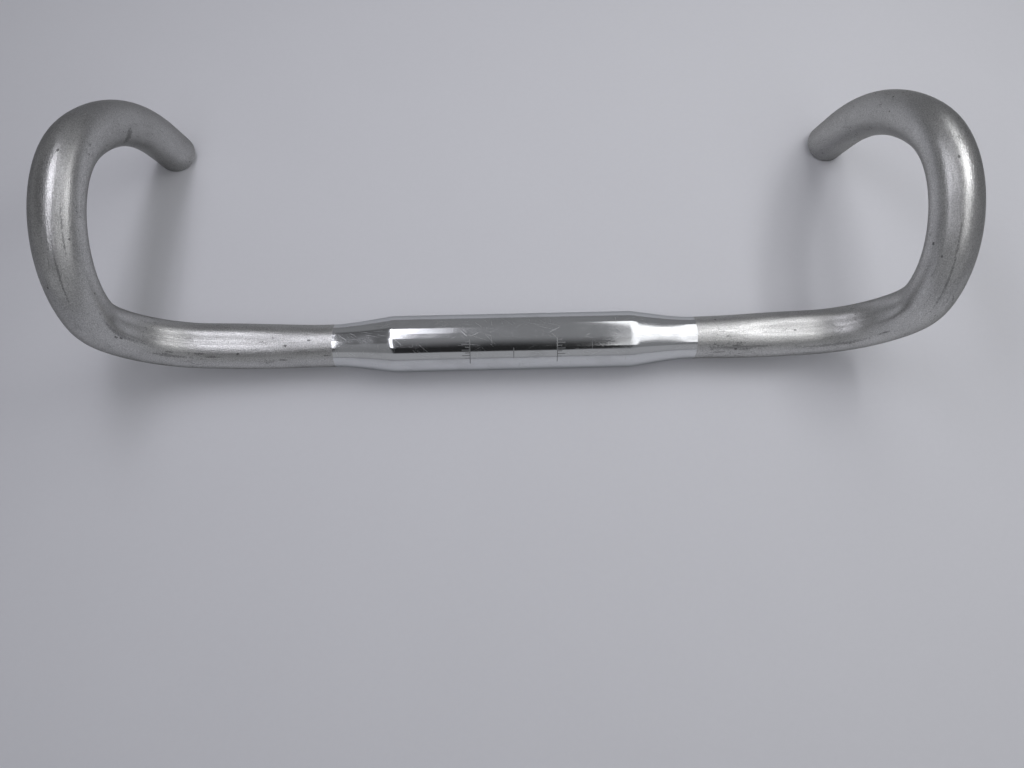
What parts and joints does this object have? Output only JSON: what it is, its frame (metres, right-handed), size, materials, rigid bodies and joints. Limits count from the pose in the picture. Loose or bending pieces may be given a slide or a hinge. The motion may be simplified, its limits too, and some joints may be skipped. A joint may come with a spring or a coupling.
{
  "type": "drop handlebar",
  "caption": "Compact road bicycle drop handlebar: one bent aluminium tube with a polished clamp bulge, grooved tops, hooks and open drop ends.",
  "frame": {"origin": "centre of the clamp section, on the tube's axis", "axes": "+X along the clamp section towards the right end of the bar, +Y from the tops towards the cut ends, which is downwards on the bicycle, +Z out of the front of the bar. The bar lies front upwards: its clamp bulge and its two cut ends touch one flat surface 15.9 mm below the origin"},
  "size_m": [0.444, 0.1705, 0.1242],
  "materials": {
    "polished_aluminium": "mirror polished, with fine handling scratches and laser-etched centring marks",
    "blasted_aluminium": "bead blasted to a fine sparkling satin, with scuffs, grey smudges and small nicks"
  },
  "bodies": {
    "root": {"clamp_section": "polished_aluminium", "left_top": "blasted_aluminium", "right_top": "blasted_aluminium", "left_hook": "blasted_aluminium", "right_hook": "blasted_aluminium", "left_drop": "blasted_aluminium", "right_drop": "blasted_aluminium"}
  },
  "joints": []
}
